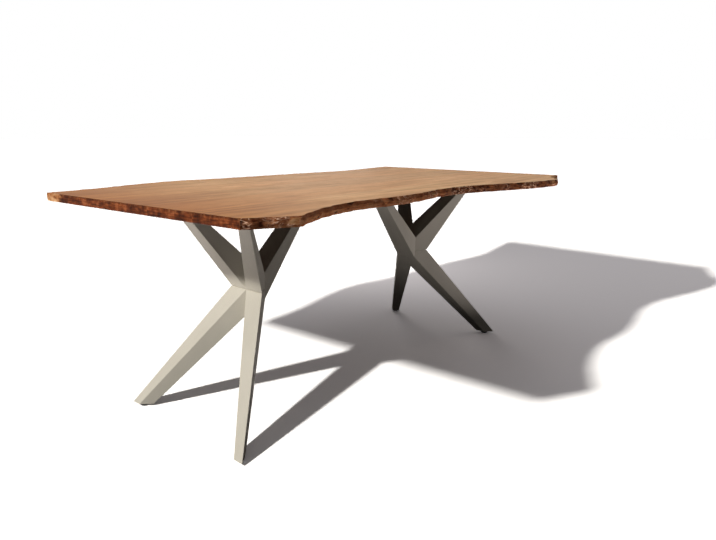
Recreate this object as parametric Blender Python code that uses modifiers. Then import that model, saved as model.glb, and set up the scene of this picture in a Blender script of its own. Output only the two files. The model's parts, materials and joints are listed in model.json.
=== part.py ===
"""Live edge dining table: a panel of glued boards on two faceted, welded steel pedestals.

Metres, +Z up. The origin is on the floor under the middle of the panel, +X runs along the panel, and the
front is at -Y. Both pedestals are one design: the left one is the right one turned half a turn about the
vertical.
"""

import math

import bmesh
import bpy
from mathutils import Matrix, Vector

# Clearances
GAP = 0.0003
HOLE_CLEARANCE = 0.0005

# Panel
TABLE_HEIGHT = 0.730
PANEL_THICKNESS = 0.026
PANEL_LENGTH = 1.850
PANEL_HALF_WIDTH = 0.450
INNER_BOARD_COUNT = 3
INNER_BOARD_WIDTH = 0.180
LEFT_END_SKEW = 0.060
END_EASE = 0.003

# Live edges: share of the panel's length from the left end, and distance outside the panel's half width
FRONT_WAVE = (
    (0.00, -0.011), (0.035, 0.024), (0.07, 0.053), (0.105, 0.028), (0.17, -0.010), (0.25, -0.029),
    (0.345, -0.013), (0.41, -0.018), (0.50, -0.038), (0.59, -0.027), (0.675, 0.018), (0.755, 0.061),
    (0.82, 0.084), (0.855, 0.090), (0.875, 0.087), (0.93, 0.048), (0.97, 0.022), (1.00, 0.000),
)
BACK_WAVE = (
    (0.00, -0.008), (0.10, 0.012), (0.20, 0.054), (0.29, 0.072), (0.40, 0.040), (0.56, 0.020),
    (0.68, -0.002), (0.78, -0.022), (0.92, 0.012), (1.00, 0.030),
)
# Live edges: share of the thickness from the underside, and distance outside the wave
BARK_PROFILE = ((0.0, -0.006), (0.2, -0.001), (0.5, 0.001), (0.8, -0.001), (1.0, -0.004))
BARK_RIPPLE = 0.0016
BARK_RIPPLE_LENGTHS = (0.092, 0.057)
BARK_RIPPLE_TWIST = 1.9
BARK_STATIONS = 96

# Pedestal, measured from the floor under its fold line, with +X towards the table's end
PEDESTAL_INSET = 0.436
FOLD_HEIGHT = 0.410
FOLD_HALF_WIDTH = 0.0775
HUB_DEPTH = 0.042
HUB_RISE = 0.057
HUB_DROP = 0.0345
ARM_REACH = 0.155
ARM_END_WIDTH = 0.049
ARM_END_DEPTH = 0.020
INNER_ARM_REACH = 0.279
INNER_ARM_END_WIDTH = 0.051
INNER_ARM_END_DEPTH = 0.032
LEG_REACH = 0.280
FOOT_SPREAD = 0.290
FOOT_WIDTH = 0.0366
FOOT_DEPTH = 0.038
WALL = 0.003
EDGE_RADIUS = 0.0015
EDGE_SEGMENTS = 2
MITRE_CHAMFER = 0.002

# Mounting plates, screws and threaded inserts
PLATE_LENGTH = 0.120
PLATE_WIDTH = 0.064
PLATE_THICKNESS = 0.005
PLATE_CORNER_RADIUS = 0.012
PLATE_HOLE_INSET = 0.014
SCREW_RADIUS = 0.004
SCREW_ENGAGEMENT = 0.012
SCREW_HEAD_OVERHANG = 0.003
SCREW_HEAD_HEIGHT = 0.0044
INSERT_WALL = 0.0015
INSERT_LENGTH = 0.015
PILOT_SPARE = 0.002

# Feet
GLIDE_RADIUS = 0.014
GLIDE_HEIGHT = 0.008
GLIDE_FLOOR = 0.003
GLIDE_EDGE = 0.0015
STEM_RADIUS = 0.004
STEM_TIP = 0.001
FOOT_PLUG_HEIGHT = 0.009

# Facets, and the block that a welded member is cut from
MERGE_DISTANCE = 0.00001
ROUND_STEPS = 10
HEAD_STEPS = 3
GLIDE_STEPS = 24
CORNER_STEPS = 4
STOCK_SIZE = 2.0
PASS_THROUGH = 0.05

# Sizes that follow from those above
PEDESTAL_SETOUT = PANEL_LENGTH / 2 - PEDESTAL_INSET
PANEL_UNDERSIDE = TABLE_HEIGHT - PANEL_THICKNESS
PLATE_TOP = PANEL_UNDERSIDE - GAP
PLATE_BOTTOM = PLATE_TOP - PLATE_THICKNESS
ARM_TOP = PLATE_BOTTOM - GAP
LEG_BOTTOM = GLIDE_HEIGHT + GAP
HUB_TOP = FOLD_HEIGHT + HUB_RISE
HUB_BOTTOM = FOLD_HEIGHT - HUB_DROP
THREAD_BORE = SCREW_RADIUS + HOLE_CLEARANCE
INSERT_RADIUS = THREAD_BORE + INSERT_WALL


def start_collections():
    """An empty scene with one collection for the table and one for its cutters."""
    for old in list(bpy.data.objects):
        bpy.data.objects.remove(old)
    parts = bpy.data.collections.new("live_edge_dining_table")
    cutters = bpy.data.collections.new("cutters")
    for collection in (parts, cutters):
        bpy.context.scene.collection.children.link(collection)
    return parts, cutters


PARTS, CUTTERS = start_collections()


def finish(name, colour, roughness, metallic):
    material = bpy.data.materials.new(name)
    material.use_nodes = True
    shader = material.node_tree.nodes["Principled BSDF"]
    shader.inputs["Base Color"].default_value = (*colour, 1.0)
    shader.inputs["Roughness"].default_value = roughness
    shader.inputs["Metallic"].default_value = metallic
    return material


WOOD = finish("oiled_hardwood", (0.45, 0.27, 0.14), 0.5, 0.0)
PAINT = finish("champagne_paint", (0.55, 0.51, 0.42), 0.4, 0.3)
STEEL = finish("zinc_plated_steel", (0.60, 0.60, 0.58), 0.35, 1.0)
BRASS = finish("brass", (0.70, 0.52, 0.25), 0.3, 1.0)
PLASTIC = finish("black_plastic", (0.02, 0.02, 0.02), 0.6, 0.0)


def add_part(name, data, material, parent=None):
    part = bpy.data.objects.new(name, data)
    PARTS.objects.link(part)
    part.data.materials.clear()
    part.data.materials.append(material)
    part.parent = parent
    return part


def add_cutter(name, data, parent=None):
    cutter = bpy.data.objects.new(name, data)
    CUTTERS.objects.link(cutter)
    cutter.hide_render = True
    cutter.display_type = "WIRE"
    cutter.parent = parent
    return cutter


def cut(part, cutter):
    boolean = part.modifiers.new("cut_" + cutter.name, "BOOLEAN")
    boolean.operation = "DIFFERENCE"
    boolean.solver = "EXACT"
    boolean.object = cutter


def mesh_from(name, bm):
    mesh = bpy.data.meshes.new(name)
    bm.to_mesh(mesh)
    bm.free()
    return mesh


def lofted(name, rings):
    """A closed skin over rings of points that all have the same count."""
    bm = bmesh.new()
    loops = [[bm.verts.new(point) for point in ring] for ring in rings]
    for here, there in zip(loops, loops[1:]):
        for k in range(len(here)):
            bm.faces.new((here[k - 1], here[k], there[k], there[k - 1]))
    bm.faces.new(loops[0])
    bm.faces.new(loops[-1])
    bmesh.ops.recalc_face_normals(bm, faces=bm.faces)
    return mesh_from(name, bm)


def turned(name, profile, steps):
    """A mesh turned about Z from a profile of (radius, height), down its outer side."""
    bm = bmesh.new()
    points = [bm.verts.new((radius, 0.0, height)) for radius, height in profile]
    for above, below in zip(points, points[1:]):
        bm.edges.new((above, below))
    blank = bpy.data.objects.new(name + "_profile", mesh_from(name + "_profile", bm))
    CUTTERS.objects.link(blank)
    screw = blank.modifiers.new("turn", "SCREW")
    screw.axis = "Z"
    screw.steps = steps
    screw.render_steps = steps
    screw.use_merge_vertices = True
    screw.merge_threshold = MERGE_DISTANCE
    evaluated = blank.evaluated_get(bpy.context.evaluated_depsgraph_get())
    mesh = bpy.data.meshes.new_from_object(evaluated)
    mesh.name = name
    bpy.data.objects.remove(blank)
    return mesh


def copies(name, mesh, places):
    """One mesh with a copy of the given mesh at each place."""
    bm = bmesh.new()
    for place in places:
        known = len(bm.verts)
        bm.from_mesh(mesh)
        bm.verts.ensure_lookup_table()
        bmesh.ops.translate(bm, verts=bm.verts[known:], vec=place)
    return mesh_from(name, bm)


# Panel


def smooth_through(points, share):
    """Value at this share of a smooth curve through points of (share, value)."""
    last = len(points) - 1
    k = 0
    while k < last - 1 and points[k + 1][0] < share:
        k += 1
    before, here, there, after = points[max(k - 1, 0)], points[k], points[k + 1], points[min(k + 2, last)]
    span = there[0] - here[0]
    t = (share - here[0]) / span
    leave = span * (there[1] - before[1]) / (there[0] - before[0])
    arrive = span * (after[1] - here[1]) / (after[0] - here[0])
    rise = there[1] - here[1]
    return here[1] + t * (leave + t * (3 * rise - 2 * leave - arrive + t * (leave + arrive - 2 * rise)))


def panel_x(share, y):
    """X at this share of the panel's length, between the skewed left saw cut and the square right one."""
    left = -PANEL_LENGTH / 2 + LEFT_END_SKEW * (PANEL_HALF_WIDTH - y)
    return left + share * (PANEL_LENGTH / 2 - left)


def bark_rows(wave, share):
    """Live edge at this share of the length: (distance from the middle line, height), underside first."""
    along = share * PANEL_LENGTH
    rows = []
    for row, (height, bulge) in enumerate(BARK_PROFILE):
        angles = [2 * math.pi * along / length + BARK_RIPPLE_TWIST * row for length in BARK_RIPPLE_LENGTHS]
        ripple = sum(math.sin(angle) for angle in angles)
        out = PANEL_HALF_WIDTH + smooth_through(wave, share) + bulge + BARK_RIPPLE * ripple
        rows.append((out, PANEL_UNDERSIDE + height * PANEL_THICKNESS))
    return rows


def board_ring(rows, share, shift, ease):
    """Cross-section of a board: rows of (y, z) at a share of the length, with the faces drawn in by ease."""
    low = PANEL_UNDERSIDE + ease
    high = TABLE_HEIGHT - ease
    return [Vector((panel_x(share, y) + shift, y, min(max(z, low), high))) for y, z in rows]


def board_stations(steps):
    """Share of the length, shift along it and ease of each cross-section, with both saw cuts eased."""
    left = [(0.0, 0.0, END_EASE), (0.0, END_EASE, 0.0)]
    inner = [(step / steps, 0.0, 0.0) for step in range(1, steps)]
    right = [(1.0, -END_EASE, 0.0), (1.0, 0.0, END_EASE)]
    return [*left, *inner, *right]


def inner_board(name, low, high):
    rows = [(low, PANEL_UNDERSIDE), (high, PANEL_UNDERSIDE), (high, TABLE_HEIGHT), (low, TABLE_HEIGHT)]
    return lofted(name, [board_ring(rows, *station) for station in board_stations(1)])


def live_board(name, seam, side, wave):
    """The board on this side (-1 front, 1 back), from its glued seam out to its live edge."""
    rings = []
    for share, shift, ease in board_stations(BARK_STATIONS):
        edge = [(side * out, z) for out, z in bark_rows(wave, share)]
        rows = [(seam, PANEL_UNDERSIDE), *edge, (seam, TABLE_HEIGHT)]
        rings.append(board_ring(rows, share, shift, ease))
    return lofted(name, rings)


def build_panel(pilots):
    """Glued boards, front to back, drilled from below for the threaded inserts."""
    seams = [(k - INNER_BOARD_COUNT / 2) * INNER_BOARD_WIDTH for k in range(INNER_BOARD_COUNT + 1)]
    meshes = [live_board("board_front_live_edge", seams[0] - GAP / 2, -1, FRONT_WAVE)]
    for k in range(INNER_BOARD_COUNT):
        meshes.append(inner_board(f"board_inner_{k + 1}", seams[k] + GAP / 2, seams[k + 1] - GAP / 2))
    meshes.append(live_board("board_back_live_edge", seams[-1] + GAP / 2, 1, BACK_WAVE))
    for mesh in meshes:
        board = add_part(mesh.name, mesh, WOOD)
        for pilot in pilots:
            cut(board, pilot)


# Welded members


def facing(start, end, outward):
    """Plane through two points of a slanted line that holds one horizontal direction, facing outward."""
    along = Vector(end) - Vector(start)
    level = Vector((0.0, 1.0, 0.0)) if start[1] == end[1] else Vector((0.0, 0.0, 1.0))
    normal = along.cross(level).normalized()
    if normal.dot(Vector(outward)) < 0:
        normal.negate()
    return Vector(start), normal


def slope(x0, z0, x1, z1, outward):
    """Plane along Y through two points of the side view."""
    return facing((x0, 0.0, z0), (x1, 0.0, z1), (outward, 0.0, 0.0))


def upright(x0, y0, x1, y1, outward):
    """Vertical plane through two points of the plan."""
    return facing((x0, y0, 0.0), (x1, y1, 0.0), (0.0, outward, 0.0))


def flat(x, y, z, normal):
    return Vector((x, y, z)), Vector(normal)


def moved(planes, distance):
    """The planes pushed out along their normals, or drawn in where the distance is negative."""
    return [(point + distance * normal, normal) for point, normal in planes]


def corner_of(*planes):
    """Point where three planes meet."""
    normals = Matrix([normal for point, normal in planes])
    return normals.inverted() @ Vector([point.dot(normal) for point, normal in planes])


def broken_edges(walls, mitre):
    """Planes that break a mitre's edges with a member's front and outer side, at one height on both."""
    front, back, outer, inner = walls
    corner = corner_of(front, outer, *moved([mitre], -MITRE_CHAMFER))
    return [(corner, (normal + mitre[1]).normalized()) for point, normal in (front, outer)]


def cut_from_stock(name, walls, ends, radius=0.0):
    """A block cut by planes. Edges where two walls meet are rounded, edges at the ends stay sharp."""
    bm = bmesh.new()
    bmesh.ops.create_cube(bm, size=STOCK_SIZE)
    is_wall = bm.faces.layers.int.new("is_wall")
    for index, (point, normal) in enumerate([*walls, *ends]):
        geom = [*bm.verts, *bm.edges, *bm.faces]
        plane = {"plane_co": point, "plane_no": normal, "dist": MERGE_DISTANCE}
        result = bmesh.ops.bisect_plane(bm, geom=geom, clear_outer=True, **plane)
        rim = [item for item in result["geom_cut"] if isinstance(item, bmesh.types.BMEdge)]
        for face in bmesh.ops.contextual_create(bm, geom=rim)["faces"]:
            face[is_wall] = int(index < len(walls))
    corners = [edge for edge in bm.edges if all(face[is_wall] for face in edge.link_faces)]
    if radius:
        bmesh.ops.bevel(bm, geom=corners, offset=radius, segments=EDGE_SEGMENTS, profile=0.5, affect="EDGES")
    bmesh.ops.recalc_face_normals(bm, faces=bm.faces)
    return mesh_from(name, bm)


def splay(x):
    """Distance from the middle plane of the vertical face that an outer arm and its leg share."""
    return FOLD_HALF_WIDTH + x * (FOOT_SPREAD - FOLD_HALF_WIDTH) / LEG_REACH


ARM_END_INSIDE = splay(ARM_REACH) - ARM_END_WIDTH
FOOT_INSIDE = FOOT_SPREAD - FOOT_WIDTH


def hub_faces(side):
    """Closed faces at the hub: the middle plane, and the flat that the inner arm is welded to."""
    middle = flat(0.0, side * GAP / 2, 0.0, (0.0, -side, 0.0))
    seat = flat(-HUB_DEPTH, 0.0, 0.0, (-1.0, 0.0, 0.0))
    return [middle, seat]


def arm_walls(side):
    return [
        slope(0.0, FOLD_HEIGHT, ARM_REACH, ARM_TOP, 1.0),
        slope(-HUB_DEPTH, HUB_TOP, ARM_REACH - ARM_END_DEPTH, ARM_TOP, -1.0),
        upright(0.0, side * FOLD_HALF_WIDTH, LEG_REACH, side * FOOT_SPREAD, side),
        upright(0.0, 0.0, ARM_REACH, side * ARM_END_INSIDE, -side),
    ]


def leg_walls(side):
    return [
        slope(0.0, FOLD_HEIGHT, LEG_REACH, LEG_BOTTOM, 1.0),
        slope(-HUB_DEPTH, HUB_BOTTOM, LEG_REACH - FOOT_DEPTH, LEG_BOTTOM, -1.0),
        upright(0.0, side * FOLD_HALF_WIDTH, LEG_REACH, side * FOOT_SPREAD, side),
        upright(0.0, 0.0, LEG_REACH, side * FOOT_INSIDE, -side),
    ]


def inner_arm_walls():
    end = -INNER_ARM_REACH - INNER_ARM_END_DEPTH
    root, tip = splay(-HUB_DEPTH), INNER_ARM_END_WIDTH / 2
    return [
        slope(-HUB_DEPTH, HUB_TOP, -INNER_ARM_REACH, ARM_TOP, 1.0),
        slope(-HUB_DEPTH, HUB_BOTTOM, end, ARM_TOP, -1.0),
        upright(-HUB_DEPTH, root, end, tip, 1.0),
        upright(-HUB_DEPTH, -root, end, -tip, -1.0),
    ]


def box_section(name, walls, closed, openings, broken, pedestal):
    """A welded steel member with open ends: its outer skin less a cavity one wall thinner all round."""
    skin = cut_from_stock(name, walls, [*closed, *openings, *broken], EDGE_RADIUS)
    hollow = [*moved(walls, -WALL), *moved(closed, -WALL)]
    cavity = cut_from_stock(name + "_cavity", hollow, moved(openings, PASS_THROUGH))
    member = add_part(name, skin, PAINT, pedestal)
    cut(member, add_cutter(name + "_cavity", cavity, pedestal))


def build_members(pedestal, names):
    """Two outer arms, two legs and the inner arm, welded at the fold line and the hub's seat."""
    top = flat(0.0, 0.0, ARM_TOP, (0.0, 0.0, 1.0))
    arm_mitre = flat(0.0, 0.0, FOLD_HEIGHT + GAP / 2, (0.0, 0.0, -1.0))
    leg_mitre = flat(0.0, 0.0, FOLD_HEIGHT - GAP / 2, (0.0, 0.0, 1.0))
    bottom = flat(0.0, 0.0, LEG_BOTTOM, (0.0, 0.0, -1.0))
    for side in (1, -1):
        walls = arm_walls(side)
        broken = broken_edges(walls, arm_mitre)
        box_section(names[side] + "_arm", walls, hub_faces(side), [top, arm_mitre], broken, pedestal)
        walls = leg_walls(side)
        broken = broken_edges(walls, leg_mitre)
        box_section(names[side] + "_leg", walls, hub_faces(side), [leg_mitre, bottom], broken, pedestal)
    root = flat(-HUB_DEPTH - GAP, 0.0, 0.0, (1.0, 0.0, 0.0))
    box_section(names[0] + "_arm", inner_arm_walls(), [], [top, root], [], pedestal)


# Mounting plates and their screws


def plate_seats():
    """Place and turn of each arm's mounting plate: side (0 for the inner arm), x, y, angle."""
    x = ARM_REACH - ARM_END_DEPTH / 2
    y = (splay(x) + x * ARM_END_INSIDE / ARM_REACH) / 2
    angle = math.atan2(FOOT_SPREAD - FOLD_HALF_WIDTH, LEG_REACH)
    inner = (0, -INNER_ARM_REACH - INNER_ARM_END_DEPTH / 2, 0.0, 0.0)
    return [(1, x, y, angle), (-1, x, -y, -angle), inner]


def plate_holes():
    """The two hole centres of a plate, about its own centre."""
    x = PLATE_LENGTH / 2 - PLATE_HOLE_INSET
    return [Vector((x, 0.0, 0.0)), Vector((-x, 0.0, 0.0))]


def arc(centre, radius, start, sweep, steps):
    """Points from start through sweep, both in turns."""
    angles = [2 * math.pi * (start + sweep * step / steps) for step in range(steps + 1)]
    return [(centre[0] + radius * math.cos(a), centre[1] + radius * math.sin(a)) for a in angles]


def plate_curve(name):
    """Flat outline with round corners and two holes."""
    curve = bpy.data.curves.new(name, "CURVE")
    curve.dimensions = "2D"
    curve.fill_mode = "BOTH"
    curve.extrude = PLATE_THICKNESS / 2
    x, y = PLATE_LENGTH / 2 - PLATE_CORNER_RADIUS, PLATE_WIDTH / 2 - PLATE_CORNER_RADIUS
    outline = []
    for quarter, corner in enumerate(((x, y), (-x, y), (-x, -y), (x, -y))):
        outline += arc(corner, PLATE_CORNER_RADIUS, quarter / 4, 0.25, CORNER_STEPS)
    loops = [outline]
    for hole in plate_holes():
        loops.append(arc(hole, THREAD_BORE, 0.0, 1.0, ROUND_STEPS)[:-1])
    for loop in loops:
        spline = curve.splines.new("POLY")
        spline.points.add(len(loop) - 1)
        for point, (px, py) in zip(spline.points, loop):
            point.co = (px, py, 0.0, 1.0)
        spline.use_cyclic_u = True
    return curve


def screw_mesh():
    """Domed head under the plate, shank up through it into the insert; heights from the plate's underside."""
    seat = -GAP
    tip = PLATE_THICKNESS + GAP + SCREW_ENGAGEMENT
    head = SCREW_RADIUS + SCREW_HEAD_OVERHANG
    profile = [(0.0, tip), (SCREW_RADIUS, tip), (SCREW_RADIUS, seat)]
    for step in range(HEAD_STEPS + 1):
        turn = math.pi / 2 * step / HEAD_STEPS
        profile.append((head * math.cos(turn), seat - SCREW_HEAD_HEIGHT * math.sin(turn)))
    return turned("screw", profile, ROUND_STEPS)


def insert_mesh():
    """Threaded sleeve; heights from the panel's underside."""
    profile = [
        (THREAD_BORE, 0.0),
        (THREAD_BORE, INSERT_LENGTH),
        (INSERT_RADIUS, INSERT_LENGTH),
        (INSERT_RADIUS, 0.0),
        (THREAD_BORE, 0.0),
    ]
    return turned("insert", profile, ROUND_STEPS)


def pilot_mesh():
    """Drill that makes room for one insert; heights from the panel's underside."""
    radius = INSERT_RADIUS + GAP
    depth = max(INSERT_LENGTH, SCREW_ENGAGEMENT) + PILOT_SPARE
    profile = [(0.0, depth), (radius, depth), (radius, -PASS_THROUGH), (0.0, -PASS_THROUGH)]
    return turned("pilot", profile, ROUND_STEPS)


def build_fixings(pedestal, names, side_name):
    """Plates, screws and inserts of one pedestal. Returns the cutter for the inserts' pilot holes."""
    screw, insert = screw_mesh(), insert_mesh()
    drilled = []
    for side, x, y, angle in plate_seats():
        name = names[side] + "_plate"
        plate = add_part(name, plate_curve(name), PAINT, pedestal)
        plate.location = (x, y, PLATE_BOTTOM + PLATE_THICKNESS / 2)
        plate.rotation_euler.z = angle
        for number, hole in enumerate(plate_holes(), start=1):
            spot = Vector((x, y, 0.0)) + Matrix.Rotation(angle, 3, "Z") @ hole
            drilled.append(spot)
            bolt = add_part(f"{names[side]}_screw_{number}", screw, STEEL, pedestal)
            bolt.location = (spot.x, spot.y, PLATE_BOTTOM)
            sleeve = add_part(f"{names[side]}_insert_{number}", insert, BRASS, pedestal)
            sleeve.location = (spot.x, spot.y, PANEL_UNDERSIDE)
    pilots = add_cutter(side_name + "_pilots", copies("pilots", pilot_mesh(), drilled), pedestal)
    pilots.location.z = PANEL_UNDERSIDE
    return pilots


# Feet


def glide_centre(side):
    """Plan centre of the foot plug at half its height, where the stem runs."""
    z = LEG_BOTTOM + FOOT_PLUG_HEIGHT / 2
    rise = (z - LEG_BOTTOM) / (FOLD_HEIGHT - LEG_BOTTOM)
    front = LEG_REACH * (1 - rise)
    back_run = LEG_REACH - FOOT_DEPTH + HUB_DEPTH
    back = LEG_REACH - FOOT_DEPTH - back_run * (z - LEG_BOTTOM) / (HUB_BOTTOM - LEG_BOTTOM)
    x = (front + back) / 2
    y = (splay(x) + x * FOOT_INSIDE / LEG_REACH) / 2
    return x, side * y


def foot_plug(name, side, pedestal):
    """Steel plug in the open end of a leg, tapped for the glide's stem."""
    bottom = flat(0.0, 0.0, LEG_BOTTOM, (0.0, 0.0, -1.0))
    top = flat(0.0, 0.0, LEG_BOTTOM + FOOT_PLUG_HEIGHT, (0.0, 0.0, 1.0))
    mesh = cut_from_stock(name, moved(leg_walls(side), -WALL - GAP), [bottom, top])
    plug = add_part(name, mesh, STEEL, pedestal)
    radius = STEM_RADIUS + GAP
    profile = [(0.0, PASS_THROUGH), (radius, PASS_THROUGH), (radius, 0.0), (0.0, 0.0)]
    cutter = add_cutter(name + "_drill", turned(name + "_drill", profile, ROUND_STEPS), pedestal)
    cutter.location = (*glide_centre(side), 0.0)
    cut(plug, cutter)


def stem_mesh(name):
    """Steel stud from inside the pad up through the plug, with a chamfered tip."""
    tip = LEG_BOTTOM + FOOT_PLUG_HEIGHT
    profile = [
        (0.0, tip),
        (STEM_RADIUS - STEM_TIP, tip),
        (STEM_RADIUS, tip - STEM_TIP),
        (STEM_RADIUS, GLIDE_FLOOR + GAP),
        (0.0, GLIDE_FLOOR + GAP),
    ]
    return turned(name, profile, ROUND_STEPS)


def pad_mesh(name):
    """Round plastic pad, moulded on the stem's lower end, with rounded rims."""
    socket = STEM_RADIUS + GAP
    profile = [
        (0.0, GLIDE_FLOOR),
        (socket, GLIDE_FLOOR),
        (socket, GLIDE_HEIGHT),
        (GLIDE_RADIUS - GLIDE_EDGE, GLIDE_HEIGHT),
        (GLIDE_RADIUS, GLIDE_HEIGHT - GLIDE_EDGE),
        (GLIDE_RADIUS, GLIDE_EDGE),
        (GLIDE_RADIUS - GLIDE_EDGE, 0.0),
        (0.0, 0.0),
    ]
    return turned(name, profile, GLIDE_STEPS)


def build_feet(pedestal, names):
    for side in (1, -1):
        foot_plug(names[side] + "_foot_plug", side, pedestal)
        for name, mesh_of, material in (("stem", stem_mesh, STEEL), ("pad", pad_mesh, PLASTIC)):
            full_name = f"{names[side]}_glide_{name}"
            piece = add_part(full_name, mesh_of(full_name), material, pedestal)
            piece.location = (*glide_centre(side), 0.0)


def build_pedestal(side_name, towards_end):
    """One pedestal on its own empty. towards_end is 1 where the table's end is at +X, and -1 at -X."""
    pedestal = bpy.data.objects.new(side_name + "_pedestal", None)
    PARTS.objects.link(pedestal)
    pedestal.location.x = towards_end * PEDESTAL_SETOUT
    pedestal.rotation_euler.z = 0.0 if towards_end > 0 else math.pi
    names = {0: side_name + "_inner", towards_end: side_name + "_back", -towards_end: side_name + "_front"}
    build_members(pedestal, names)
    build_feet(pedestal, names)
    return build_fixings(pedestal, names, side_name)


build_panel([build_pedestal("left", -1), build_pedestal("right", 1)])
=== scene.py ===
"""Looks of the live edge dining table: worked boards, painted steel, fixings and feet.

Metres, +Z up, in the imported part's own frame: the length runs along X, and the front is at -Y.
"""

import json
import math

import bmesh
import bpy
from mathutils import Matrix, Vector, noise


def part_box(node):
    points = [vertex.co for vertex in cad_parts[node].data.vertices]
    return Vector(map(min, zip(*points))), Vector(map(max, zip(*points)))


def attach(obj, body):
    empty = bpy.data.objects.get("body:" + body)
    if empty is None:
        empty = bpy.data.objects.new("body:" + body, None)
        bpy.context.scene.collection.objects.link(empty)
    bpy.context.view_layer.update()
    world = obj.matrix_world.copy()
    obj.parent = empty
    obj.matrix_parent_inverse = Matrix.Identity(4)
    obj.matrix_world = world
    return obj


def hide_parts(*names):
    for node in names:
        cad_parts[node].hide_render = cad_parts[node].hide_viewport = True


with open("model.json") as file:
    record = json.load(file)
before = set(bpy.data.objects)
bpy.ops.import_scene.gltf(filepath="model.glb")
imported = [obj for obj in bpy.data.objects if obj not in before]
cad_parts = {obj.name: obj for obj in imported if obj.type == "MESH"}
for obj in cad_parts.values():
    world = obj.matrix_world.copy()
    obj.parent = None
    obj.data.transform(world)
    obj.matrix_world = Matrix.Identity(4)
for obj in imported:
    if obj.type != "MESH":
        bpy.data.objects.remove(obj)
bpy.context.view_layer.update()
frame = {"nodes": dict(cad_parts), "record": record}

# Boards
BOARDS = (
    "board_front_live_edge",
    "board_inner_1",
    "board_inner_2",
    "board_inner_3",
    "board_back_live_edge",
)
PANEL_THICKNESS = 0.026
# Where the CAD boards are cut for their outline, as a share of the thickness, and how closely
SECTION_SHARE = 0.8
SAME_POINT = 0.000001
CUT_WITHIN = 0.00005
CUT_MERGE = 0.0001
# What makes a corner of the outline, a straight side, and a sharp edge of the mesh
CORNER_TURN = math.radians(50)
STRAIGHT_WITHIN = 0.001
SHARP_TURN = math.radians(38)
# Step along the worked edge, rows of points up it, and width of its strip on the faces
EDGE_STEP = 0.0022
EDGE_ROWS = 15
FACE_INSET = 0.006
# Half of the CAD's gap for a glue line, which the worked boards close
SEAM_CLOSE = 0.00015
TOP_SLOT, LIVE_SLOT, SAWN_SLOT, UNDERSIDE_SLOT = range(4)
# Painted shade: the underside's wood tone, near black, for the shade under the top
UNDERSIDE_SHADE_TONE = (0.050, 0.043, 0.039)
UNDERSIDE_GLOSS = 0.0
OILED_GLOSS = 0.18
# Growth rings: how far they sway, how they lean along the board, and how dense they are
RING_SWAY = 0.09
RING_LEAN = 0.022
RING_SCALE = 95.0
# Each board's offset in the figure of the wood, place (y, z) of its log's pith, and tone
BOARD_LOOKS = (
    ((0.31, 0.02, 0.0), (-0.37, 0.60), (1.03, 1.05, 1.03)),
    ((1.73, 0.21, 0.1), (-0.14, 0.52), (1.03, 1.00, 0.96)),
    ((4.10, 0.67, 0.3), (0.03, 0.63), (0.97, 0.97, 0.97)),
    ((6.52, 0.93, 0.5), (0.21, 0.55), (1.04, 1.02, 1.00)),
    ((9.07, 1.38, 0.7), (0.33, 0.61), (0.98, 0.97, 0.95)),
)
# Share of the thickness from the underside, and distance outside the board's section
LIVE_PROFILE = ((0.0, -0.0028), (0.2, 0.0006), (0.5, 0.0024), (0.8, 0.0010), (1.0, -0.0012))
SAWN_PROFILE = ((0.0, -0.0020), (0.08, -0.0004), (0.5, 0.0), (0.92, -0.0002), (1.0, -0.0010))
# Relief of a live edge: mean depth, scallops and fibres, and what bark adds with its lumps and rim
LIVE_DEPTH = 0.0013
SCALLOP_DEPTH = 0.0009
FIBRE_DEPTH = 0.0004
BARK_DEPTH = 0.0013
LUMP_HEIGHT = 0.0030
BARK_RIM_DEPTH = 0.0015
BARK_RIM_FROM = 0.9
# Relief of a saw-cut end: its mean depth, its tool marks and its nicks
SAWN_DEPTH = 0.0004
MARK_DEPTH = 0.0006
NICK_DEPTH = 0.0042
# Waves per metre of these forms along an edge, and up it where they vary that way too
FIBRE_WAVES = (20, 230)
SCALLOP_WAVES = (26, 40)
LUMP_WAVES = (62, 120)
CRACK_WAVES = (38, 120)
CLUSTER_WAVES = 11
MARK_WAVES = 16
NICK_WAVES = 75
# Place along the table, and share of the bark that is left on a live edge there
BARK_LEFT = (
    (-0.93, 1.0), (-0.83, 1.0), (-0.79, 0.3), (-0.74, 0.3), (-0.68, 0.06),
    (-0.45, 0.14), (-0.30, 0.42), (-0.10, 0.50), (-0.04, 0.8), (0.02, 0.4),
    (0.10, 1.0), (0.62, 1.0), (0.70, 0.85), (0.93, 0.85),
)
# Place along the table, and how far the front edge's upper part falls away there to bare sapwood
WANE = ((-1.0, 0.0), (0.69, 0.0), (0.80, 0.022), (0.86, 0.022), (0.915, 0.0))
# Place across the table from which a saw-cut end shows bare sapwood
SAPWOOD_FROM_Y = 0.345
# Width and unevenness of that sapwood's border
SAPWOOD_FADE = 0.02
SAPWOOD_UNEVEN = 0.03
# Pale spots on the live edges: place along the table and half length
PALE_SPOTS = ((-0.760, 0.014), (-0.035, 0.012), (0.655, 0.016))
# Stretches of the live edges full of pale flecks: place along the table and half length
FLECKED = ((-0.870, 0.020), (-0.778, 0.036), (0.150, 0.070))

# Photograph's frame and the camera fitted to it
IMAGE_WIDTH = 716
IMAGE_HEIGHT = 540
FOCAL_PIXELS = 579.4
PRINCIPAL_X = 309.4
PRINCIPAL_Y = 283.1
CAMERA_PLACE = (-1.6946, -1.4206, 0.9184)
CAMERA_YAW = math.radians(43.233)
CAMERA_PITCH = math.radians(14.749)
SENSOR_WIDTH = 36.0

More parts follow.
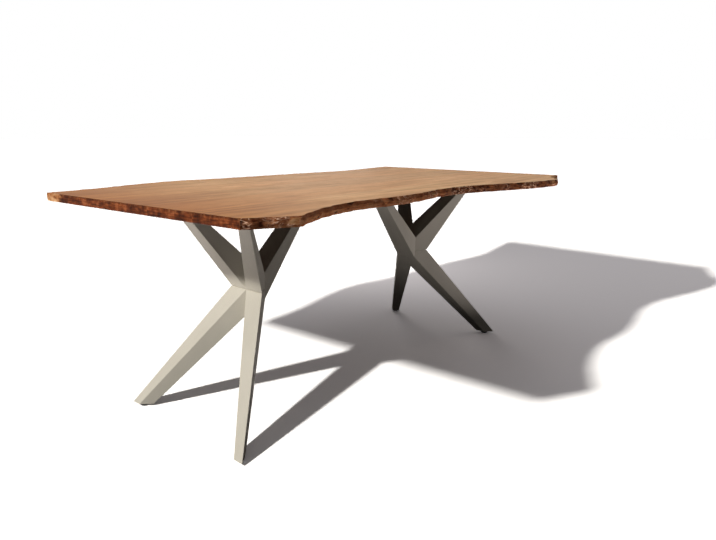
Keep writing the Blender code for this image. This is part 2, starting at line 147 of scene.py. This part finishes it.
# Light
WHITE = (1.0, 1.0, 1.0, 1.0)
KEY_PLACE = (-2.905, 0.12, 2.04)
KEY_TARGET = (0.0, 0.0, 0.0)
KEY_RADIUS = 0.065
KEY_LEVEL = 1.0
KEY_COLOUR = (1.0, 0.97, 0.92)
SOFT_COLOUR = (1.0, 0.93, 0.92)
OVERHEAD_COLOUR = (1.0, 0.95, 0.97)
BACKDROP_PLACE = (1.5, 1.5, 0.8)
BACKDROP_TARGET = (0.6, -0.2, 0.0)
BACKDROP_SIZE = 0.8
BACKDROP_LEVEL = 0.27
# What the floor's bright parts send up, as lamps: place, size, level, spread, fall-off
FLOOR_GLOWS = (
    ((-1.02, 0.46, 0.01), 0.5, 0.65, math.radians(140), "Linear"),
    ((-0.10, -0.10, 0.01), 0.4, 0.045, math.radians(170), "Quadratic"),
    ((0.62, -0.95, 0.01), 0.6, 0.75, math.radians(165), "Quadratic"),
    ((-1.40, -1.20, 0.01), 0.6, 0.40, math.radians(165), "Quadratic"),
)
# The world's glow straight above, which fades to nothing at the horizon, and what the floor gets of it
OVERHEAD = 0.193
OVERHEAD_ON_FLOOR = OVERHEAD * 2 / 3
# The floor's size, its level to the camera, and its colour as far as it lights the table
FLOOR_SIZE = 120.0
FLOOR_LEVEL = 1.32
FLOOR_BOUNCE = 0.01


# Node trees


def add(tree, kind, inputs=None, **settings):
    """A node with its settings. inputs maps a socket to a value, or to an output to link."""
    made = tree.nodes.new("ShaderNode" + kind)
    for name, value in settings.items():
        setattr(made, name, value)
    for socket, value in (inputs or {}).items():
        if isinstance(value, bpy.types.NodeSocket):
            tree.links.new(value, made.inputs[socket])
        else:
            made.inputs[socket].default_value = value
    return made


def math_node(tree, operation, first, second=0.0):
    """The result of one step of arithmetic."""
    return add(tree, "Math", {0: first, 1: second}, operation=operation).outputs[0]


def mix_colour(tree, factor, first, second, blend="MIX"):
    """The first colour at factor 0, and its blend with the second at factor 1."""
    made = add(tree, "Mix", {0: factor, 6: first, 7: second}, data_type="RGBA", blend_type=blend)
    return made.outputs[2]


def shaded(tree, share, colour, by):
    """A colour multiplied by another, in this share."""
    return mix_colour(tree, share, colour, by, "MULTIPLY")


def covered(tree, mask, share, colour, over):
    """A colour with another laid over it in this share of a mask."""
    return mix_colour(tree, math_node(tree, "MULTIPLY", mask, share), colour, (*over, 1.0))


def ranged(tree, value, low, high):
    """A value from 0 to 1 turned into one from low to high."""
    return add(tree, "MapRange", {"Value": value, "To Min": low, "To Max": high}).outputs[0]


def ramp(tree, factor, *stops):
    """Colours by position. Each stop is (position, colour), with one grey or three values."""
    made = add(tree, "ValToRGB", {0: factor})
    elements = made.color_ramp.elements
    while len(elements) < len(stops):
        elements.new(1.0)
    for element, (position, colour) in zip(elements, stops):
        element.position = position
        rgb = colour if isinstance(colour, tuple) else (colour,) * 3
        element.color = (*rgb, 1.0)
    return made.outputs[0]


def stretched(tree, scale, offset):
    """Coordinates in metres, moved by an offset and scaled along each axis."""
    place = add(tree, "TexCoord").outputs["Object"]
    return add(tree, "Mapping", {"Vector": place, "Location": offset, "Scale": scale}).outputs[0]


def noise_of(tree, scale, offset=(0.0, 0.0, 0.0), detail=2.0, roughness=0.5):
    """Noise with this many waves per metre along each axis."""
    place = stretched(tree, scale, offset)
    inputs = {"Vector": place, "Scale": 1.0, "Detail": detail, "Roughness": roughness}
    return add(tree, "TexNoise", inputs).outputs["Fac"]


def start_material(name):
    """A material and its empty node tree."""
    material = bpy.data.materials.new(name)
    material.use_nodes = True
    material.node_tree.nodes.clear()
    return material, material.node_tree


def end_material(tree, inputs, height, distance, strength):
    """The shader with these inputs and with bump from a height."""
    bump = add(tree, "Bump", {"Height": height, "Distance": distance, "Strength": strength})
    shader = add(tree, "BsdfPrincipled", {**inputs, "Normal": bump.outputs[0]})
    add(tree, "OutputMaterial", {"Surface": shader.outputs[0]})


def rings_of(tree, offset, pith):
    """Growth rings of a board whose log's pith lies at (y, z), leaning a little along it."""
    moved = stretched(tree, (1.0, 1.0, 1.0), offset)
    parts = add(tree, "SeparateXYZ", {0: moved}).outputs
    sway = noise_of(tree, (0.9, 1.6, 1.6), offset, detail=2.0)
    sway = math_node(tree, "MULTIPLY", sway, RING_SWAY)
    lean = math_node(tree, "MULTIPLY", parts["X"], RING_LEAN)
    across = math_node(tree, "ADD", parts["Y"], -pith[0])
    across = math_node(tree, "ADD", across, sway)
    down = math_node(tree, "ADD", parts["Z"], -pith[1])
    down = math_node(tree, "ADD", down, lean)
    flat = add(tree, "CombineXYZ", {1: across, 2: down}).outputs[0]
    radius = add(tree, "VectorMath", {0: flat}, operation="LENGTH").outputs["Value"]
    inputs = {"W": radius, "Scale": RING_SCALE, "Detail": 3.0}
    return add(tree, "TexNoise", inputs, noise_dimensions="1D").outputs["Fac"]


def wood(name, offset, pith, tone, gloss):
    """Hardwood along X. Each board has its own offset, pith and tone, and each face its gloss."""
    material, tree = start_material(name)
    rings = rings_of(tree, offset, pith)
    streaks = noise_of(tree, (2.8, 34.0, 34.0), offset, detail=4.0, roughness=0.55)
    bands = noise_of(tree, (2.2, 10.0, 10.0), offset, detail=3.0)
    fibres = noise_of(tree, (7.0, 420.0, 420.0), offset, detail=3.0, roughness=0.65)
    pores = noise_of(tree, (38.0, 900.0, 900.0), offset, detail=1.0)
    broad = noise_of(tree, (1.6, 5.0, 5.0), offset, detail=2.0)
    mottle = noise_of(tree, (13.0, 26.0, 26.0), offset, detail=4.0, roughness=0.62)
    grain = math_node(tree, "MULTIPLY", rings, 0.28)
    grain = math_node(tree, "ADD", grain, math_node(tree, "MULTIPLY", streaks, 0.36))
    grain = math_node(tree, "ADD", grain, math_node(tree, "MULTIPLY", bands, 0.36))
    colour = ramp(
        tree,
        grain,
        (0.36, (0.560, 0.295, 0.125)),
        (0.48, (0.720, 0.415, 0.195)),
        (0.60, (0.800, 0.490, 0.245)),
    )
    colour = shaded(tree, 0.45, colour, ramp(tree, fibres, (0.30, 0.66), (0.62, 1.06)))
    clouds = ramp(tree, broad, (0.30, (0.94, 0.84, 0.74)), (0.70, 1.06))
    colour = shaded(tree, 0.60, colour, clouds)
    patches = ramp(tree, mottle, (0.34, (0.88, 0.80, 0.72)), (0.62, 1.10))
    colour = shaded(tree, 0.70, colour, patches)
    # Painted shade: the wood darker and more orange towards the table's left end, and a touch lighter
    # over the rest
    shares = stretched(tree, (0.5, 0.5, 0.5), (0.5, 0.0, 0.0))
    along = add(tree, "SeparateXYZ", {0: shares}).outputs["X"]
    painted_shade_left_end = ramp(tree, along, (0.05, (0.60, 0.40, 0.18)), (0.30, 1.03))
    colour = shaded(tree, 1.0, colour, painted_shade_left_end)
    pore_mask = ramp(tree, pores, (0.66, 0.0), (0.74, 1.0))
    colour = covered(tree, pore_mask, 0.45, colour, (0.16, 0.065, 0.022))
    colour = shaded(tree, 1.0, colour, (*tone, 1.0))
    rough = ranged(tree, fibres, 0.48, 0.66)
    height = math_node(tree, "SUBTRACT", fibres, pore_mask)
    inputs = {"Base Color": colour, "Roughness": rough, "Specular IOR Level": gloss}
    end_material(tree, inputs, height, distance=0.0003, strength=0.35)
    return material


def edge_tint(tree):
    """The tint in the edge's geometry: chip or nick, dark hollow, upper band and bare sapwood."""
    tint = add(tree, "Attribute", attribute_name="edge_tint").outputs
    return *add(tree, "SeparateColor", {0: tint["Color"]}).outputs, tint["Alpha"]


def sapwood(tree, speck, mask, colour):
    """A colour with mottled pale sapwood over it where the mask says so."""
    pale = ramp(
        tree,
        speck,
        (0.36, (0.10, 0.030, 0.012)),
        (0.46, (0.42, 0.170, 0.060)),
        (0.60, (0.66, 0.400, 0.210)),
    )
    return mix_colour(tree, mask, colour, pale)


def stained_end(name, offset):
    """Saw-cut end in red-brown stain: streaks along it, saw marks across it, nicked upper edge."""
    material, tree = start_material(name)
    nick, hollow, upper, bare = edge_tint(tree)
    streak = noise_of(tree, (60.0, 11.0, 190.0), offset, detail=4.0, roughness=0.6)
    saw = noise_of(tree, (60.0, 70.0, 14.0), offset, detail=3.0, roughness=0.6)
    blotch = noise_of(tree, (20.0, 20.0, 36.0), offset, detail=3.0, roughness=0.6)
    speck = noise_of(tree, (200.0, 150.0, 330.0), offset, detail=2.0)
    mixed = math_node(tree, "MULTIPLY", streak, 0.25)
    mixed = math_node(tree, "ADD", mixed, math_node(tree, "MULTIPLY", saw, 0.2))
    mixed = math_node(tree, "ADD", mixed, math_node(tree, "MULTIPLY", blotch, 0.55))
    colour = ramp(
        tree,
        mixed,
        (0.38, (0.032, 0.008, 0.003)),
        (0.47, (0.125, 0.030, 0.010)),
        (0.53, (0.255, 0.068, 0.022)),
        (0.64, (0.460, 0.155, 0.062)),
    )
    colour = covered(tree, hollow, 0.7, colour, (0.030, 0.008, 0.003))
    colour = shaded(tree, 0.5, colour, ramp(tree, speck, (0.35, 0.55), (0.60, 1.10)))
    colour = covered(tree, upper, 0.6, colour, (0.060, 0.018, 0.007))
    colour = covered(tree, nick, 0.8, colour, (0.340, 0.130, 0.050))
    colour = sapwood(tree, blotch, bare, colour)
    rough = ranged(tree, speck, 0.50, 0.72)
    inputs = {"Base Color": colour, "Roughness": rough, "Specular IOR Level": 0.06}
    end_material(tree, inputs, speck, distance=0.0006, strength=0.5)
    return material


def live_edge(name, offset):
    """Worked live edge: red-brown wood, dark bark where it is left, and pale curls with painted
    highlight.
    """
    material, tree = start_material(name)
    chip, hollow, upper, bare = edge_tint(tree)
    long_grain = noise_of(tree, (22.0, 60.0, 190.0), offset, detail=4.0, roughness=0.6)
    speck = noise_of(tree, (190.0, 190.0, 330.0), offset, detail=2.0)
    colour = ramp(
        tree,
        long_grain,
        (0.32, (0.320, 0.088, 0.030)),
        (0.42, (0.660, 0.215, 0.080)),
        (0.52, (0.820, 0.330, 0.135)),
        (0.66, (0.860, 0.420, 0.200)),
    )
    colour = covered(tree, upper, 0.75, colour, (0.330, 0.098, 0.037))
    colour = shaded(tree, 0.5, colour, ramp(tree, speck, (0.35, 0.55), (0.58, 1.15)))
    bark = ramp(tree, long_grain, (0.36, (0.014, 0.003, 0.002)), (0.60, (0.100, 0.023, 0.008)))
    bark = shaded(tree, 0.7, bark, ramp(tree, speck, (0.38, 0.25), (0.56, 1.2)))
    colour = mix_colour(tree, hollow, colour, bark)
    place = stretched(tree, (38.0, 38.0, 85.0), offset)
    twisted = {"Vector": place, "Scale": 1.0, "Detail": 1.0, "Distortion": 1.5}
    curl = add(tree, "TexNoise", twisted).outputs["Fac"]
    curl = math_node(tree, "ABSOLUTE", math_node(tree, "SUBTRACT", curl, 0.5))
    # Pale curls where bark is chipped on raised lumps: their own pale wood, set near white as a
    # painted highlight
    pale_curl_and_highlight = math_node(tree, "MULTIPLY", ramp(tree, curl, (0.022, 1.0), (0.036, 0.0)), chip)
    pale = ramp(tree, speck, (0.30, (0.72, 0.34, 0.18)), (0.60, (1.0, 0.70, 0.51)))
    colour = mix_colour(tree, pale_curl_and_highlight, colour, pale)
    colour = sapwood(tree, long_grain, bare, colour)
    rough = ranged(tree, speck, 0.50, 0.78)
    inputs = {"Base Color": colour, "Roughness": rough, "Specular IOR Level": 0.03}
    end_material(tree, inputs, speck, distance=0.001, strength=0.6)
    return material


def paint():
    """Satin champagne powder coat: fine orange peel, faint clouding."""
    material, tree = start_material("champagne_powder_coat")
    cloud = noise_of(tree, (7.0, 7.0, 3.0), detail=3.0)
    peel = noise_of(tree, (700.0, 700.0, 700.0), detail=2.0)
    flake = noise_of(tree, (1900.0, 1900.0, 1900.0), detail=0.0)
    colour = ramp(tree, cloud, (0.32, (0.560, 0.530, 0.455)), (0.68, (0.620, 0.588, 0.510)))
    colour = shaded(tree, 0.35, colour, ramp(tree, flake, (0.30, 0.78), (0.70, 1.16)))
    rough = ranged(tree, peel, 0.40, 0.54)
    inputs = {"Base Color": colour, "Roughness": rough, "Specular IOR Level": 0.02}
    end_material(tree, inputs, peel, distance=0.0002, strength=0.25)
    return material


def metal(name, dark, light, rough_low, rough_high):
    """Plated or turned metal: fine turning lines round Z, and patchy roughness."""
    material, tree = start_material(name)
    patchy = noise_of(tree, (260.0, 260.0, 260.0), detail=3.0)
    lines = noise_of(tree, (40.0, 40.0, 5200.0), detail=1.0)
    colour = ramp(tree, patchy, (0.30, dark), (0.70, light))
    rough = ranged(tree, patchy, rough_low, rough_high)
    inputs = {"Base Color": colour, "Roughness": rough, "Metallic": 1.0}
    end_material(tree, inputs, lines, distance=0.0001, strength=0.3)
    return material


def plastic():
    """Moulded black plastic, matt, with a fine spark-eroded texture and scuffs."""
    material, tree = start_material("black_plastic")
    texture = noise_of(tree, (1500.0, 1500.0, 1500.0), detail=2.0)
    scuff = noise_of(tree, (120.0, 120.0, 300.0), detail=3.0)
    colour = ramp(tree, scuff, (0.40, (0.012, 0.012, 0.012)), (0.75, (0.055, 0.052, 0.050)))
    rough = ranged(tree, scuff, 0.45, 0.75)
    inputs = {"Base Color": colour, "Roughness": rough}
    end_material(tree, inputs, texture, distance=0.0002, strength=0.4)
    return material


# Boards


def section_of(node):
    """Plan outline of a CAD board, counter-clockwise, where its live edge has a row of points."""
    low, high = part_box(node)
    height = low.z + SECTION_SHARE * (high.z - low.z)
    bm = bmesh.new()
    bm.from_mesh(frame["nodes"][node].data)
    bmesh.ops.remove_doubles(bm, verts=bm.verts, dist=SAME_POINT)
    everything = [*bm.verts, *bm.edges, *bm.faces]
    plane = {"plane_co": (0, 0, height), "plane_no": (0, 0, 1), "dist": CUT_WITHIN}
    bmesh.ops.bisect_plane(bm, geom=everything, clear_outer=True, clear_inner=True, **plane)
    bmesh.ops.remove_doubles(bm, verts=bm.verts, dist=CUT_MERGE)
    first = max(bm.verts, key=lambda vert: vert.co.x)
    points = [first.co.to_2d()]
    previous, here = None, first
    while True:
        linked = [edge.other_vert(here) for edge in here.link_edges]
        onward = [vert for vert in linked if vert is not previous]
        previous, here = here, onward[0]
        if here is first:
            break
        points.append(here.co.to_2d())
    bm.free()
    area = sum(a.x * b.y - a.y * b.x for a, b in zip(points, points[1:] + points[:1]))
    return points if area > 0 else points[::-1]


def turn_at(points, k):
    """Angle by which the outline turns at one of its points."""
    before = points[k] - points[k - 1]
    after = points[(k + 1) % len(points)] - points[k]
    return abs(before.angle_signed(after, 0.0))


def sides_of(points):
    """The outline split at its corners: lists of points, each from one corner to the next."""
    corners = [k for k in range(len(points)) if turn_at(points, k) > CORNER_TURN]
    sides = []
    for k, corner in enumerate(corners):
        end = corners[(k + 1) % len(corners)]
        run = range(corner, end + 1 if end > corner else end + len(points) + 1)
        sides.append([points[index % len(points)] for index in run])
    return sides


def kind_of(side):
    """seam for a straight glued side, sawn for an end, live for a wavy one."""
    span = side[-1] - side[0]
    if abs(span.x) < abs(span.y):
        return "sawn"
    depth = max(point.y for point in side) - min(point.y for point in side)
    return "seam" if depth < STRAIGHT_WITHIN else "live"


def resampled(side, step):
    """Points at even steps of a smooth line through a side's points, both ends included."""
    lengths = [0.0]
    for a, b in zip(side, side[1:]):
        lengths.append(lengths[-1] + (b - a).length)
    count = max(1, round(lengths[-1] / step))
    result = []
    k = 0
    for index in range(count + 1):
        s = lengths[-1] * index / count
        while k < len(side) - 2 and lengths[k + 1] < s:
            k += 1
        span = lengths[k + 1] - lengths[k]
        t = (s - lengths[k]) / span
        first, last = max(k - 1, 0), min(k + 2, len(side) - 1)
        leave = (side[k + 1] - side[first]) * span / (lengths[k + 1] - lengths[first])
        arrive = (side[last] - side[k]) * span / (lengths[last] - lengths[k])
        rise = side[k + 1] - side[k]
        bend = 3 * rise - 2 * leave - arrive + t * (leave + arrive - 2 * rise)
        result.append(side[k] + t * (leave + t * bend))
    return result


def read_profile(profile, place):
    """Value at a place in a table of places and values, straight in between."""
    for (low, a), (high, b) in zip(profile, profile[1:]):
        if place <= high:
            return a + (b - a) * (place - low) / (high - low)
    return profile[-1][1]


def between(low, high, value):
    """0 below low, 1 above high, and straight in between."""
    return min(1.0, max(0.0, (value - low) / (high - low)))


def wane_at(x, y):
    """How far the upper edge falls away here."""
    return read_profile(WANE, x) if y < 0 else 0.0


def within(spots, x):
    """1 in the middle half of a spot, fading to 0 at its ends."""
    return max(between(reach, reach / 2, abs(x - place)) for place, reach in spots)


def ragged(place, octaves):
    """Noise about 0, finer by half and weaker by half with each octave."""
    return noise.fractal(Vector(place), 1.0, 2.0, octaves)


def live_relief(x, y, share):
    """Depth of a live edge's surface below its smooth form, and its tint as edge_tint reads it."""
    bark = read_profile(BARK_LEFT, x)
    rise = share * PANEL_THICKNESS
    fibre = ragged((x * FIBRE_WAVES[0], rise * FIBRE_WAVES[1], y * 3), 3)
    scallop = ragged((x * SCALLOP_WAVES[0], rise * SCALLOP_WAVES[1], 5.0), 2)
    lump = ragged((x * LUMP_WAVES[0], rise * LUMP_WAVES[1], 8.0), 2)
    cluster = noise.noise(Vector((x * CLUSTER_WAVES, 3.0, 7.0)))
    crack = noise.noise(Vector((x * CRACK_WAVES[0], rise * CRACK_WAVES[1], 2.5)))
    flecked = within(FLECKED, x)
    full = max(0.85 * between(-0.15, 0.25, cluster), flecked)
    chip = between(0.12, 0.30, bark) * full * between(-0.35, 0.0, lump)
    hollow = bark * (0.82 + 0.18 * between(0.0, 0.40, -lump))
    hollow += (1 - bark) * between(0.42, 0.55, crack)
    hollow = max(hollow, 0.6 * flecked)
    upper = between(0.52, 0.64, share + 0.14 * fibre) * (1 - 0.8 * bark)
    spot = max(
        between(reach, reach / 2, abs(x - place + 0.3 * reach * fibre))
        for place, reach in PALE_SPOTS
    )
    bare = spot * between(0.25, 0.40, share) * between(0.98, 0.85, share)
    in_bark = BARK_DEPTH - LUMP_HEIGHT * lump + BARK_RIM_DEPTH * (share > BARK_RIM_FROM)
    depth = LIVE_DEPTH + SCALLOP_DEPTH * scallop + FIBRE_DEPTH * fibre + bark * in_bark
    wane = wane_at(x, y) * between(0.40, 1.0, share + 0.1 * scallop)
    depth += wane
    bare = max(bare, between(0.0004, 0.0025, wane))
    return max(depth, 0.0), (chip, min(hollow, 1.0) * (1 - bare), upper * (1 - bare), bare)


def sawn_relief(x, y, share):
    """Depth and tint of a saw-cut end: shallow tool marks along it and nicks in its upper edge."""
    marks = ragged((y * MARK_WAVES, share * 5.0, x), 3)
    nicks = ragged((y * NICK_WAVES, 4.0, x), 3)
    nick = between(0.10, 0.60, nicks) * between(0.62, 1.0, share)
    depth = max(0.0, SAWN_DEPTH + MARK_DEPTH * marks + NICK_DEPTH * nick)
    hollow = between(0.15, 0.5, -marks)
    upper = between(0.80, 0.94, share + 0.08 * nicks)
    bare = between(SAPWOOD_FROM_Y, SAPWOOD_FROM_Y + SAPWOOD_FADE, y + SAPWOOD_UNEVEN * marks)
    bare *= between(0.0, -0.1, x)
    return depth, (nick, hollow, upper, bare)


RELIEF = {"live": (LIVE_PROFILE, live_relief), "sawn": (SAWN_PROFILE, sawn_relief)}
board_boxes = [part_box(node) for node in BOARDS]
panel_low = [min(low[axis] for low, high in board_boxes) for axis in (0, 1)]
panel_high = [max(high[axis] for low, high in board_boxes) for axis in (0, 1)]


def rim_of(node):
    """The board's rim in order: plan point, way out, way in over the faces, and kind of side."""
    rim = []
    for side in sides_of(section_of(node)):
        kind = kind_of(side)
        points = [side[0], side[-1]] if kind == "seam" else resampled(side, EDGE_STEP)
        for k, point in enumerate(points[:-1]):
            along = points[k + 1] - points[k - 1 if k else 0]
            outward = Vector((along.y, -along.x)).normalized()
            rim.append((point, outward, -outward, kind))
    mended = []
    for k, (point, outward, inward, kind) in enumerate(rim):
        before = rim[k - 1]
        if before[3] != kind and "seam" in (before[3], kind):
            sawn, seam = (before, outward) if kind == "seam" else (rim[k], before[1])
            outward = Vector((math.copysign(1.0, sawn[1].x), 0.0))
            inward = -outward - seam
            point = point + SEAM_CLOSE * seam
        elif before[3] != kind:
            outward = (before[1] + outward) / (1 + before[1].dot(outward))
            inward = -outward
        mended.append((point, outward, inward, kind))
    corners = []
    for k, (point, outward, inward, kind) in enumerate(mended):
        if mended[k - 1][3] != kind:
            corners.append((point, inward))
    faded = []
    for point, outward, inward, kind in mended:
        for corner, way in corners:
            near = between(2 * FACE_INSET, 0.0, (point - corner).length)
            inward = inward + (way - inward) * near
        faded.append((point, outward, inward, kind))
    return faded


def board_mesh(node):
    """A board with a worked rim: rows of points from underside to top, and two flat faces."""
    low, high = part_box(node)
    rim = rim_of(node)
    bm = bmesh.new()
    tint = bm.verts.layers.float_color.new("edge_tint")

    def row(share, inset):
        """Points round the board at a share of its thickness, on the edge or inset on a face."""
        made = []
        for k, (point, outward, inward, kind) in enumerate(rim):
            kind = rim[k - 1][3] if kind == "seam" else kind
            profile, relief_of = RELIEF[kind]
            depth, colour = relief_of(point.x, point.y, share)
            if inset:
                fallen = wane_at(point.x, point.y) if share and kind == "live" else 0.0
                place = point + inward * (inset + fallen)
            else:
                place = point + outward * (read_profile(profile, share) - depth)
            x, y = (min(max(place[axis], panel_low[axis]), panel_high[axis]) for axis in (0, 1))
            vert = bm.verts.new((x, y, low.z + (high.z - low.z) * share))
            vert[tint] = colour
            made.append(vert)
        return made

    rows = [row(0.0, FACE_INSET)]
    rows += [row(k / (EDGE_ROWS - 1), 0.0) for k in range(EDGE_ROWS)]
    rows.append(row(1.0, FACE_INSET))
    slots = {"seam": TOP_SLOT, "live": LIVE_SLOT, "sawn": SAWN_SLOT}
    for level, (below, above) in enumerate(zip(rows, rows[1:])):
        on_face = {0: UNDERSIDE_SLOT, len(rows) - 2: TOP_SLOT}.get(level)
        for k in range(len(rim)):
            face = bm.faces.new((below[k - 1], below[k], above[k], above[k - 1]))
            face.material_index = slots[rim[k - 1][3]] if on_face is None else on_face
    bm.faces.new(rows[0][::-1]).material_index = UNDERSIDE_SLOT
    bm.faces.new(rows[-1]).material_index = TOP_SLOT
    mesh = bpy.data.meshes.new(node + "_worked")
    bm.to_mesh(mesh)
    bm.free()
    mesh.shade_smooth()
    mesh.set_sharp_from_angle(angle=SHARP_TURN)
    return mesh


def dress(node, material):
    """Gives a CAD node this material and no other."""
    mesh = frame["nodes"][node].data
    mesh.materials.clear()
    mesh.materials.append(material)


def show(name, mesh, slot, *nodes):
    """A piece in place of these CAD nodes, fixed to the table."""
    piece = bpy.data.objects.new(name, mesh)
    bpy.context.scene.collection.objects.link(piece)
    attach(piece, "root")
    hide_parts(*nodes)


def make_boards():
    """Each board worked, with its own wood, bark, stained ends, and underside in painted shade."""
    for node, (offset, pith, tone) in zip(BOARDS, BOARD_LOOKS):
        mesh = board_mesh(node)
        placed = (pith[0] + offset[1], pith[1] + offset[2])
        mesh.materials.append(wood("wood_" + node, offset, placed, tone, OILED_GLOSS))
        mesh.materials.append(live_edge("bark_" + node, offset))
        mesh.materials.append(stained_end("end_" + node, offset))
        # The underside, darkened near to black as painted shade
        underside = wood("shaded_underside_" + node, offset, placed, UNDERSIDE_SHADE_TONE, UNDERSIDE_GLOSS)
        mesh.materials.append(underside)
        show(node + "_worked", mesh, "wood", node)
        dress(node, mesh.materials[TOP_SLOT])


# Steel, fixings and feet


def dress_nodes():
    """The looks of the steel, the fixings and the feet, by material slot."""
    looks = {
        "champagne_paint": paint(),
        "zinc": metal("zinc_plate", (0.50, 0.50, 0.50), (0.68, 0.68, 0.66), 0.28, 0.45),
        "brass": metal("turned_brass", (0.58, 0.40, 0.16), (0.74, 0.55, 0.26), 0.22, 0.38),
        "black_plastic": plastic(),
    }
    for part in frame["record"]["subparts"]:
        if part["material_slot"] in looks:
            dress(part["node"], looks[part["material_slot"]])


# Floor, light and camera


def path_mask(tree):
    """1 for rays from the camera, and for those that gloss or glass sends on."""
    path = add(tree, "LightPath").outputs
    mask = math_node(tree, "MAXIMUM", path["Is Camera Ray"], path["Is Glossy Ray"])
    return math_node(tree, "MAXIMUM", mask, path["Is Transmission Ray"])


def make_floor():
    """White floor that keeps the shadow, evened out for the camera by the distance to the key."""
    bpy.ops.mesh.primitive_plane_add(size=FLOOR_SIZE)
    floor = bpy.context.object
    floor.name = "floor"
    material, tree = start_material("white_floor")
    place = add(tree, "NewGeometry").outputs["Position"]
    reach = add(tree, "VectorMath", {0: place, 1: KEY_PLACE}, operation="DISTANCE")
    from_key = math_node(tree, "DIVIDE", KEY_LEVEL * KEY_PLACE[2], reach.outputs["Value"])
    received = math_node(tree, "ADD", from_key, OVERHEAD_ON_FLOOR)
    level = math_node(tree, "DIVIDE", FLOOR_LEVEL, received)
    seen = add(tree, "BsdfDiffuse", {"Color": level})
    plain = add(tree, "BsdfDiffuse", {"Color": (FLOOR_BOUNCE, FLOOR_BOUNCE, FLOOR_BOUNCE, 1.0)})
    chosen = add(tree, "MixShader", {0: path_mask(tree), 1: plain.outputs[0], 2: seen.outputs[0]})
    add(tree, "OutputMaterial", {"Surface": chosen.outputs[0]})
    floor.data.materials.append(material)


def make_world():
    """White to the camera. As a light it is a soft glow that fades towards the horizon."""
    world = bpy.data.worlds.new("white_room")
    world.use_nodes = True
    tree = world.node_tree
    tree.nodes.clear()
    mask = path_mask(tree)
    direction = add(tree, "TexCoord").outputs["Generated"]
    upward = math_node(tree, "MAXIMUM", add(tree, "SeparateXYZ", {0: direction}).outputs["Z"], 0.0)
    glow = math_node(tree, "MULTIPLY", upward, OVERHEAD)
    soft = add(tree, "Background", {"Color": (*OVERHEAD_COLOUR, 1.0), "Strength": glow})
    white = add(tree, "Background", {"Color": WHITE, "Strength": 1.0})
    chosen = add(tree, "MixShader", {0: mask, 1: soft.outputs[0], 2: white.outputs[0]})
    add(tree, "OutputWorld", {"Surface": chosen.outputs[0]})
    bpy.context.scene.world = world


def make_lamp(name, kind, place, level, colour, target, falloff):
    """A lamp aimed at a target. With Constant falloff near and far parts get the same light."""
    lamp = bpy.data.lights.new(name, kind)
    lamp.color = colour
    lamp.energy = 1.0
    lamp.use_nodes = True
    tree = lamp.node_tree
    tree.nodes.clear()
    reach = add(tree, "LightFalloff", {"Strength": level}).outputs[falloff]
    glow = add(tree, "Emission", {"Color": WHITE, "Strength": reach})
    add(tree, "OutputLight", {"Surface": glow.outputs[0]})
    holder = bpy.data.objects.new(name, lamp)
    holder.location = place
    holder.rotation_euler = (Vector(target) - Vector(place)).to_track_quat("-Z", "Y").to_euler()
    holder.visible_camera = False
    bpy.context.scene.collection.objects.link(holder)
    return lamp


def make_lamps():
    """A small key high on the left that draws the shadow, a soft backdrop and the floor's glow."""
    strength = 4 * math.pi**2 * KEY_LEVEL
    key = make_lamp("key", "POINT", KEY_PLACE, strength, KEY_COLOUR, KEY_TARGET, "Constant")
    key.shadow_soft_size = KEY_RADIUS
    strength = math.pi**2 * BACKDROP_LEVEL
    backdrop = make_lamp(
        "backdrop", "AREA", BACKDROP_PLACE, strength, SOFT_COLOUR, BACKDROP_TARGET, "Quadratic"
    )
    backdrop.size = BACKDROP_SIZE
    for place, size, level, spread, falloff in FLOOR_GLOWS:
        above = (*place[:2], 1.0)
        strength = math.pi**2 * level
        glow = make_lamp("floor_glow", "AREA", place, strength, SOFT_COLOUR, above, falloff)
        glow.size = size
        glow.spread = spread


def make_camera():
    """Camera at the photograph's place and angle, with its framing."""
    lens = bpy.data.cameras.new("camera")
    lens.sensor_width = SENSOR_WIDTH
    lens.lens = SENSOR_WIDTH * FOCAL_PIXELS / IMAGE_WIDTH
    lens.shift_x = (IMAGE_WIDTH / 2 - PRINCIPAL_X) / IMAGE_WIDTH
    lens.shift_y = (PRINCIPAL_Y - IMAGE_HEIGHT / 2) / IMAGE_WIDTH
    camera = bpy.data.objects.new("camera", lens)
    camera.location = CAMERA_PLACE
    camera.rotation_euler = (math.pi / 2 - CAMERA_PITCH, 0.0, CAMERA_YAW - math.pi / 2)
    bpy.context.scene.collection.objects.link(camera)
    bpy.context.scene.camera = camera


make_boards()
dress_nodes()
make_floor()
make_world()
make_lamps()
make_camera()
bpy.context.scene.view_settings.view_transform = "Standard"
